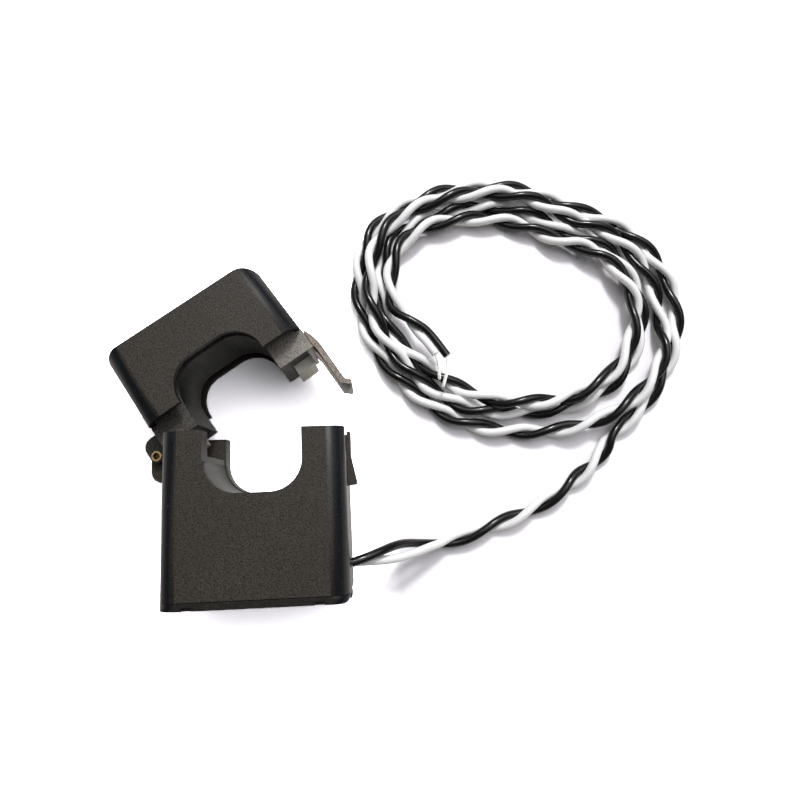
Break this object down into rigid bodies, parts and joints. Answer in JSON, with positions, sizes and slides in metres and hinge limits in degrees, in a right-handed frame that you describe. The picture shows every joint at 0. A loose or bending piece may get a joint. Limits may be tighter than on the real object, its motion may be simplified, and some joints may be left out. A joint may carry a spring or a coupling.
{
  "type": "split-core current transformer",
  "caption": "Clamp-on current transformer: a hinged jaw with its own core closes over a conductor window and snaps under a catch; a twisted lead pair leaves the side",
  "frame": {"origin": "on the axis of the closed conductor window, in the plane of the back faces that it lies on", "axes": "+Z along the conductor toward the front face, +Y from the base cover toward the jaw, +X toward the latch and the leads"},
  "size_m": [0.1616, 0.1188, 0.034],
  "materials": {
    "housing": "charcoal ABS with a fine spark-eroded grain",
    "frame": "smooth dark nylon",
    "latch": "brown-grey textured nylon",
    "core": "ground wound silicon steel strip",
    "winding": "enamelled copper wire",
    "tape": "clear yellow polyester tape",
    "bobbin": "moulded black nylon",
    "pad": "closed-cell foam",
    "terminal": "tinned wire",
    "brass": "bright brass eyelet",
    "spring": "spring steel strip",
    "black_wire": "glossy black PVC insulation",
    "white_wire": "glossy white PVC insulation",
    "lead_pair": "stands in for the twisted black and white pair",
    "strand": "tinned copper strands"
  },
  "bodies": {
    "housing": {"lower_housing": "housing", "base_cover": "housing", "lower_core_left": "core", "lower_core_right": "core", "bobbin": "bobbin", "secondary_winding": "winding", "winding_tape": "tape", "bobbin_pad": "pad", "start_terminal": "terminal", "finish_terminal": "terminal", "black_lead_inner": "black_wire", "white_lead_inner": "white_wire", "hinge_pin": "brass", "lead_tail": "lead_pair", "lead_coil": "lead_pair", "black_strands": "strand", "white_strands": "strand"},
    "jaw": {"jaw_cover": "housing", "jaw_frame": "frame", "jaw_core": "core", "jaw_core_spring": "spring"},
    "latch": {"latch_arm": "latch"}
  },
  "joints": [
    {"name": "jaw_hinge", "type": "hinge", "parent": "housing", "child": "jaw", "pos_m": [-0.0264, -0.0017, 0.017], "axis": [0, 0, 1], "range_deg": [-33.2, 55]},
    {"name": "latch_flex", "type": "hinge", "parent": "jaw", "child": "latch", "pos_m": [0.01244, 0.02862, 0.017], "axis": [0, 0, 1], "range_deg": [0, 9], "stiffness_Nm_per_rad": 0.05}
  ]
}
